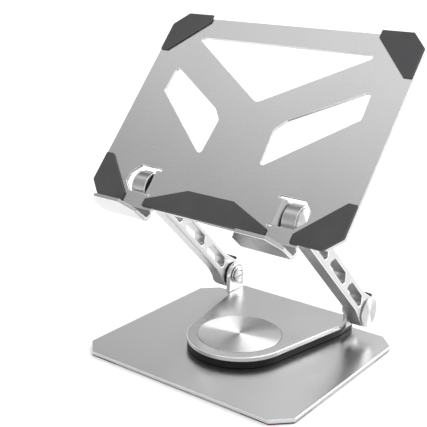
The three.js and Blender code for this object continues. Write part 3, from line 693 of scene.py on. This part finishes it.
# ---------------------------------------------------------------- hinges
def hinge_hardware(level, ear_x, frame_matrix, y, z, body):
    """The bolt, spring washer and nut of one hinge on each side. ear_x is the inner face of its ear."""
    washer_in = ear_x - GAP - SPRING_WASHER_T
    nut_out = washer_in - GAP
    nut_in = nut_out - NUT_T
    head_in, head_out = ARM_OUT - 0.1 - BOLT_HEAD_T, ARM_OUT - 0.1
    bolt = [
        (0, nut_in - 0.3), (BOLT_R - 0.8, nut_in - 0.3), (BOLT_R, nut_in + 0.6), (BOLT_R, head_in),
        (BOLT_HEAD_R - 0.3, head_in), (BOLT_HEAD_R, head_in + 0.3), (BOLT_HEAD_R, head_out - 0.3),
        (BOLT_HEAD_R - 0.3, head_out), (0, head_out),
    ]
    washer = [
        (BOLT_R + 0.4, washer_in + 0.25), (BOLT_R + 0.9, washer_in),
        (SPRING_WASHER_R - 0.5, washer_in + 0.1), (SPRING_WASHER_R, washer_in + 0.45),
        (SPRING_WASHER_R, washer_in + 0.8),
        (SPRING_WASHER_R - 0.2, washer_in + SPRING_WASHER_T), (BOLT_R + 0.4, washer_in + SPRING_WASHER_T),
    ]
    nut = [
        (BOLT_R + 0.2, nut_in + 0.9), (BOLT_R + 0.8, nut_in), (NUT_R - 1.1, nut_in),
        (NUT_R - 0.5, nut_in + 0.25), (NUT_R - 0.1, nut_in + 0.9), (NUT_R, nut_in + 1.3),
        (NUT_R, nut_out - 0.2), (NUT_R - 0.2, nut_out), (BOLT_R + 0.2, nut_out),
    ]
    bolt_holes = [(0, -BOLT_PIN_AT), (0, BOLT_PIN_AT)]
    turns = (math.radians(150), math.radians(-30))
    nut_holes = [(NUT_PIN_RING * math.cos(t), NUT_PIN_RING * math.sin(t)) for t in turns]
    for side, sign in SIDES:
        place = axle(sign, frame_matrix, y, z)
        pins = [drill(BOLT_PIN_R, nut_in - 1, nut_in + BOLT_PIN_DEPTH, 24,
                      place @ Matrix.Translation((*at, 0))) for at in bolt_holes]
        build(f"{level}_bolt_{side}", turned(bolt, n=64, rims=(1, 2)), STEEL_X, body,
              [f"{level}_hinge_bolt_{side}"], place, pins)
        build(f"{level}_washer_{side}", turned(washer, n=72, rims=(2, 3)), STEEL_X, body,
              [f"{level}_spring_washer_{side}"], place)
        pins = [drill(NUT_PIN_R, nut_in - 1, nut_in + NUT_PIN_DEPTH, 20,
                      place @ Matrix.Translation((*at, 0))) for at in nut_holes]
        build(f"{level}_nut_{side}", turned(nut, n=72, rims=(1, 3)), STEEL_X, body,
              [f"{level}_hinge_nut_{side}"], place, pins)


# ---------------------------------------------------------------- arms
def arm_outline():
    """The arm seen from its side: x runs up it from the lower hinge, and -y is its back."""
    def touch(flare):
        """The angle at which a tangent from the bar's corner touches its knuckle."""
        reach = math.hypot(flare, ARM_HALF)
        return math.degrees(math.atan2(ARM_HALF, flare) + math.acos(KNUCKLE_R / reach))

    low, high = touch(LOW_FLARE), touch(HIGH_FLARE)
    lower = arc(0, 0, KNUCKLE_R, low, 360 - low, 72)
    upper = arc(ARM_L, 0, KNUCKLE_R, 180 + high, 540 - high, 72)
    start, end = LOW_FLARE, ARM_L - HIGH_FLARE
    below = [(start - NECK * 0.6, -ARM_HALF - 0.45), (start + NECK, -ARM_HALF)]
    below += [(end - NECK, -ARM_HALF), (end + NECK * 0.6, -ARM_HALF - 0.55)]
    above = [(x, -y) for x, y in reversed(below)]
    return lower + below + upper + above


def arm_hole(step):
    """A lightening hole, step places up the arm from its middle."""
    at = ARM_L / 2 + step * ARM_HOLE_PITCH
    return fillet([(at + x, y) for x, y in ARM_HOLE], [3, 3, 2.3, 3, 3, 2.3], 6)


def bumper_outline(grow=0.0):
    """The rubber insert on the lower knuckle's rim, grow wider all round for its slot."""
    inner, outer = BUMPER_IN - grow, BUMPER_OUT + grow
    turn = math.degrees(grow / BUMPER_OUT)
    first, last = BUMPER_FROM + turn, BUMPER_TO - turn
    return arc(0, 0, inner, first, last, 16) + arc(0, 0, outer, last, first, 20)


def arms():
    """Each side's bar with its rubber stop, its two spun caps and its two slide rings."""
    middle = (ARM_IN + ARM_OUT) / 2
    bores = [circle(y, 0, HINGE_BORE_R, 40) for y in (0, ARM_L)]
    holes = [arm_hole(step) for step in (-1, 0, 1)]
    slot_half = BUMPER_HALF + GAP
    for side, sign in SIDES:
        place = sided(sign) @ ARM_FRAME @ TO_YZ
        tools = [cutter(bar(bumper_outline(GAP), middle - slot_half, middle + slot_half), place)]
        for y in (0, ARM_L):
            seat = place @ Matrix.Translation((y, 0, 0))
            tools.append(drill(BOLT_HEAD_R + SEAT_GAP, ARM_OUT - SEAT_DEPTH, ARM_OUT + 1, 48, seat))
        bm = slab([arm_outline()] + holes + bores, ARM_IN, ARM_OUT, edge=0.7)
        build(f"arm_bar_{side}", bm, ARM_METAL, "arms", [f"arm_{side}"], place, tools)
        bm = slab([bumper_outline()], middle - BUMPER_HALF, middle + BUMPER_HALF, edge=0.5)
        build(f"arm_stop_{side}", bm, BLACK_RUBBER, "arms",
              [f"arm_bumper_{side}"], place)
        for level, y in (("lower", 0), ("upper", ARM_L)):
            place_round = axle(sign, ARM_FRAME, y, 0)
            inside, outside = EAR_OUT + GAP, ARM_OUT + GAP
            cap = disc(0, CAP_R, outside, outside + CAP_T, edge=0.35, n=112)
            build(f"{level}_spun_cap_{side}", cap, SPUN_X, "arms",
                  [f"{level}_hinge_cap_{side}"], place_round)
            ring = disc(HINGE_BORE_R, SLIDE_RING_R, inside, inside + SLIDE_RING_T, edge=0.15, n=80)
            build(f"{level}_slide_ring_{side}", ring, BLACK_PLASTIC, "arms",
                  [f"{level}_friction_washer_{side}"], place_round)


# ---------------------------------------------------------------- tray
TRAY_BEND = EAR_OUT - BEND_R - TRAY_T  # where the tray's ears start to bend back, from the middle
TRAY_NEUTRAL = BEND_R + TRAY_T / 2  # the radius at which a bend keeps the sheet's length
TONGUE_END = TRAY_BEND + quarter(TRAY_T) + (TRAY_HINGE_BEHIND - TRAY_T - BEND_R)  # centre of the flat ear
TONGUE_LOW, TONGUE_HIGH = TRAY_HINGE_UP - TRAY_EAR_R, TRAY_HINGE_UP + TRAY_EAR_R

# A lip bends twice: by LIP_LEAN at the tray's edge, then, after a straight run, square to the tray.
LIP_REST = math.pi / 2 - LIP_LEAN
LIP_SECOND = LIP_DROP - BEND_R - TRAY_T  # how far below the tray's edge the second bend's centre is
LIP_RUN = (LIP_SECOND - LIP_START) / math.cos(LIP_LEAN)
LIP_FIRST_ARC, LIP_SECOND_ARC = TRAY_NEUTRAL * LIP_LEAN, TRAY_NEUTRAL * LIP_REST
LIP_SECOND_H = BEND_R + (LIP_SECOND - LIP_START) * math.tan(LIP_LEAN)


def opening():
    """The hole for an arm's knuckle, with the tray's ear drawn flat inside it."""
    inner, edge, out = TRAY_BEND - 3, TRAY_BEND + 0.6, OPENING_OUT
    shoulder = out - OPENING_CHAMFER
    corners = [
        (inner, TONGUE_LOW - RELIEF), (edge, TONGUE_LOW - RELIEF), (edge + 0.8, OPENING_LOW),
        (shoulder, OPENING_LOW), (out, OPENING_LOW + OPENING_CHAMFER),
        (out, OPENING_HIGH - OPENING_CHAMFER), (shoulder, OPENING_HIGH),
        (inner, OPENING_HIGH), (inner, TONGUE_HIGH),
    ]
    around = fillet(corners, [0, 0, 0, 0.8, 0.8, 0.8, 0.8, 0.6, 0], 4)
    return around + arc(TONGUE_END, TRAY_HINGE_UP, TRAY_EAR_R, 90, -90, 40) + [(inner, TONGUE_LOW)]


def lip_tab():
    """The right lip drawn flat, from the middle outwards, with the relief slots beside its neck."""
    flat_length = LIP_START + LIP_FIRST_ARC + LIP_RUN + LIP_SECOND_ARC + LIP_DEPTH - LIP_SECOND_H
    turn = -flat_length + (LIP_DEPTH - LIP_STRAIGHT)
    neck = LIP_FROM + LIP_NECK
    neck_end, shoulder, wide = -3.4, -4.2, -5.0
    near = [
        (neck - RELIEF, 0), (neck - RELIEF, RELIEF), (neck, RELIEF), (neck, neck_end),
        (LIP_FROM + 0.4, shoulder), (LIP_FROM, wide), (LIP_FROM, turn),
        (LIP_FROM + LIP_CHAMFER, -flat_length),
    ]
    far = [(LIP_FROM + LIP_TO - x, y) for x, y in reversed(near)]
    return fillet(near + far, [0, 0, 0, 0, 0, 0, 1.2, 1.2, 1.2, 1.2, 0, 0, 0, 0, 0, 0], 4)


def lip_point(run, depth):
    """Where a flat lip's point goes that is run below the tray's edge. depth is 0 on the front face.

    Returns how far up the tray and how far in front of it, as the tray stands."""
    past = run - LIP_START
    a = min(past / TRAY_NEUTRAL, LIP_LEAN)
    r = BEND_R + depth
    v, h = -LIP_START - r * math.sin(a), BEND_R - r * math.cos(a)
    if past <= LIP_FIRST_ARC:
        return v, h
    straight = min(past - LIP_FIRST_ARC, LIP_RUN)
    v -= straight * math.cos(LIP_LEAN)
    h += straight * math.sin(LIP_LEAN)
    past -= LIP_FIRST_ARC + LIP_RUN
    if past <= 0:
        return v, h
    a = LIP_LEAN + min(past / TRAY_NEUTRAL, LIP_REST)
    v = -LIP_SECOND - r * math.sin(a)
    h = LIP_SECOND_H - r * math.cos(a)
    return v, h + max(0.0, past - LIP_SECOND_ARC)


def tray_sheet():
    """The tray, drawn flat with its ears and lips, which are then bent back and forward."""
    half, c = TRAY_W / 2, TRAY_CHAMFER
    corners = fillet([(half - c, 0), (half, c), (half, TRAY_H - c), (half - c, TRAY_H)], 1.6, 4)
    outline = lip_tab() + corners + flipped(corners) + flipped(lip_tab())
    triangle = fillet(TRIANGLE_WINDOW, [2.4, 5, 2.4], 8)
    side_window = fillet(SIDE_WINDOW, [3, 3, 2.4, 5, 5], 8)
    holes = [triangle, side_window, flipped(side_window), opening(), flipped(opening())]
    bm = slab([outline] + holes, -TRAY_T, 0, edge=0.35, low_edge=0.5)
    cut_lines(bm, 0, both_sides(strips(TRAY_BEND, quarter(TRAY_T), 8)))
    first = strips(LIP_START, LIP_FIRST_ARC, 3)
    second = strips(LIP_START + LIP_FIRST_ARC + LIP_RUN, LIP_SECOND_ARC, 6)
    cut_lines(bm, 1, [-y for y in first + second])
    reach = TONGUE_END - TRAY_BEND + TRAY_EAR_R
    for v in bm.verts:
        run = abs(v.co.x) - TRAY_BEND
        on_tongue = TONGUE_LOW - NEAR < v.co.y < TONGUE_HIGH + NEAR
        if v.co.y < -LIP_START:
            v.co.y, v.co.z = lip_point(-v.co.y, -v.co.z)
        elif 0 < run < reach + NEAR and on_tongue:
            along, across = rolled(run, v.co.z + TRAY_T, TRAY_BEND, TRAY_T)
            v.co.x = math.copysign(along, v.co.x)
            v.co.z = -TRAY_T - across
    return bm


def tray():
    """The bent sheet and the five pads that the tablet lies on."""
    bores = [drill(HINGE_BORE_R, EAR_OUT - 6, EAR_OUT + 2, 40,
                   axle(sign, TRAY_FRAME, TRAY_HINGE_UP, -TRAY_HINGE_BEHIND)) for _, sign in SIDES]
    build("tray_sheet", tray_sheet(), TRAY_METAL, "tray", ["tray_plate"], TRAY_FRAME, bores)
    pads = []
    for side, dx in (("left", 1), ("right", -1)):
        for end, dy, y in (("lower", 1, 0.0), ("upper", -1, TRAY_H)):
            pads.append((f"{end}_{side}", corner_pad(-dx * TRAY_W / 2, y, dx, dy, TRAY_CHAMFER)))
    pads.append(("middle", MIDDLE_PAD))
    for name, outline in pads:
        bm = slab([fillet(outline, 1.0, 4)], PAD_BOTTOM, PAD_TOP, edge=0.55, steps=2, low_edge=0.1)
        build(f"pad_{name}", bm, PAD_RUBBER, "tray", [f"tray_pad_{name}"], TRAY_FRAME)


# ---------------------------------------------------------------- floor, light and camera
CAMERA_AT = (0.40193, -0.56496, 0.34401)
CAMERA_AZIMUTH, CAMERA_ELEVATION, CAMERA_ROLL = (math.radians(a) for a in (37.41, 17.95, 0.53))
FOCAL_LENGTH, SENSOR_WIDTH = 76.2, 36.0
FLOOR_HALF, WALL_R, WALL_H = 6.0, 5.9, 4.0  # metres
LAMP_AT, LAMP_AIM, LAMP_SIZE, LAMP_POWER = (0, 0.6, 4.0), (0, 0.6, 0), 7.0, 110
DOME_DARKEST = 0.02
TO_RIGHT, AWAY = Vector((0.794, 0.607, 0)), Vector((-0.607, 0.794, 0))  # as seen from the front camera
DOME_TOP = (0.80, 0.97, 0.78, 1.10)  # cosines to straight up where the dome starts and stops to brighten
# The dome's screens: the way to each (right, away, up), the cosines where it starts and is full, how
# much light it adds, and the side of the middle that it keeps to, where it has a sharp edge.
DOME_PATCHES = [
    ((-0.26, 0.56, 0.79), (0.90, 0.95), -0.95, ((-1, 0, 0), (0.0, 0.05))),  # dark, high behind, to the left
    ((0.34, 0.53, 0.78), (0.91, 0.955), 2.4, ((1, 0, 0), (0.0, 0.04))),  # bright, high behind, to the right
    ((0.93, 0.30, 0.20), (0.94, 0.975), 6.0, None),  # a window, low on the right
    ((-0.42, 0.28, 0.863), (0.925, 0.968), 0.50, None),  # a glow, high on the left
    ((-0.85, -0.10, 0.52), (0.86, 0.97), -0.30, None),  # a shade, on the left
]


def stage_piece(name, bm, material):
    """A piece of the studio, in metres, that isn't part of the stand."""
    mesh = bpy.data.meshes.new(name)
    bm.to_mesh(mesh)
    bm.free()
    mesh.materials.append(material)
    piece = bpy.data.objects.new(name, mesh)
    bpy.context.scene.collection.objects.link(piece)
    return piece


def floor(half_width):
    """White paper under the stand."""
    material, nodes, links, shader = tree("studio_paper")
    place = nodes.new("ShaderNodeTexCoord").outputs["Object"]
    fibre = noise(nodes, links, place, 6.0, 4.0, 0.6)
    links.new(mixed(nodes, links, fibre, grey(0.93), grey(0.95)), shader.inputs["Base Color"])
    shader.inputs["Roughness"].default_value = 0.9
    bm = bmesh.new()
    bmesh.ops.create_grid(bm, x_segments=8, y_segments=8, size=half_width)
    stage_piece("floor", bm, material)


def backdrop(radius, height, sides=96):
    """A white wall round the floor, which the camera sees and the metal doesn't."""
    material, _, _, shader = tree("studio_wall")
    shader.inputs["Base Color"].default_value = (*grey(0.95), 1)
    shader.inputs["Emission Color"].default_value = (1, 1, 1, 1)
    shader.inputs["Emission Strength"].default_value = 1.0
    bm = bmesh.new()
    low, high = ([bm.verts.new((*p, z)) for p in circle(0, 0, radius, sides)] for z in (0, height))
    for i in range(sides):
        j = (i + 1) % sides
        bm.faces.new((low[j], low[i], high[i], high[j]))
    wall = stage_piece("backdrop", bm, material)
    for ray in ("diffuse", "glossy", "transmission", "volume_scatter", "shadow"):
        setattr(wall, "visible_" + ray, False)


def studio_dome():
    """The light all round: white, brighter above, with the screens of DOME_PATCHES behind and beside."""
    world = bpy.data.worlds.new("studio")
    world.use_nodes = True
    nodes, links = world.node_tree.nodes, world.node_tree.links
    way = nodes.new("ShaderNodeTexCoord").outputs["Generated"]

    def along(x, y, z):
        """How far the looked-at direction points to the right, away from the camera and up."""
        n = nodes.new("ShaderNodeVectorMath")
        n.operation = "DOT_PRODUCT"
        n.inputs[1].default_value = (TO_RIGHT * x + AWAY * y + Vector((0, 0, z))).normalized()
        links.new(way, n.inputs[0])
        return n.outputs["Value"]

    def step(value, low, high, out_low=0.0, out_high=1.0):
        result = ranged(nodes, links, value, low, high, out_low, out_high)
        result.node.interpolation_type = "SMOOTHSTEP"
        return result

    level = step(along(0, 0, 1), *DOME_TOP)
    for direction, reach, strength, edge in DOME_PATCHES:
        patch = step(along(*direction), *reach, 0.0, strength)
        if edge:
            patch = math_node(nodes, links, "MULTIPLY", patch, step(along(*edge[0]), *edge[1]))
        level = math_node(nodes, links, "ADD", level, patch)
    level = math_node(nodes, links, "MAXIMUM", level, DOME_DARKEST)
    links.new(level, nodes["Background"].inputs["Strength"])
    nodes["Background"].inputs["Color"].default_value = (1, 1, 1, 1)
    bpy.context.scene.world = world


def softbox(place, aim, size, power):
    """A large square lamp overhead, which the metal doesn't mirror."""
    light = bpy.data.lights.new("overhead", "AREA")
    light.shape = "RECTANGLE"
    light.size, light.size_y, light.energy = size, size, power
    lamp = bpy.data.objects.new("overhead", light)
    bpy.context.scene.collection.objects.link(lamp)
    lamp.location = place
    lamp.rotation_euler = (Vector(aim) - Vector(place)).to_track_quat("-Z", "Y").to_euler()
    lamp.visible_glossy = False


def front_camera():
    """The photograph's view."""
    a, e = CAMERA_AZIMUTH, CAMERA_ELEVATION
    back = Vector((math.sin(a) * math.cos(e), -math.cos(a) * math.cos(e), math.sin(e)))
    right = Vector((math.cos(a), math.sin(a), 0))
    up = back.cross(right)
    turned_right = right * math.cos(CAMERA_ROLL) + up * math.sin(CAMERA_ROLL)
    turned_up = back.cross(turned_right)
    lens = bpy.data.cameras.new("camera")
    lens.lens, lens.sensor_width = FOCAL_LENGTH, SENSOR_WIDTH
    lens.clip_start, lens.clip_end = 0.01, 50.0
    camera = bpy.data.objects.new("camera", lens)
    turn = Matrix((turned_right, turned_up, back)).transposed().to_4x4()
    camera.matrix_world = Matrix.Translation(CAMERA_AT) @ turn
    bpy.context.scene.collection.objects.link(camera)
    bpy.context.scene.camera = camera


# ---------------------------------------------------------------- the whole scene
base()
swivel()
hinge_hardware("lower", EAR_IN, Matrix(), HINGE_Y, HINGE_Z, "swivel")
hinge_hardware("upper", EAR_OUT - TRAY_T, TRAY_FRAME, TRAY_HINGE_UP, -TRAY_HINGE_BEHIND, "tray")
arms()
tray()
floor(FLOOR_HALF)
backdrop(WALL_R, WALL_H)
studio_dome()
softbox(LAMP_AT, LAMP_AIM, LAMP_SIZE, LAMP_POWER)
front_camera()
bpy.context.scene.view_settings.view_transform = "Standard"
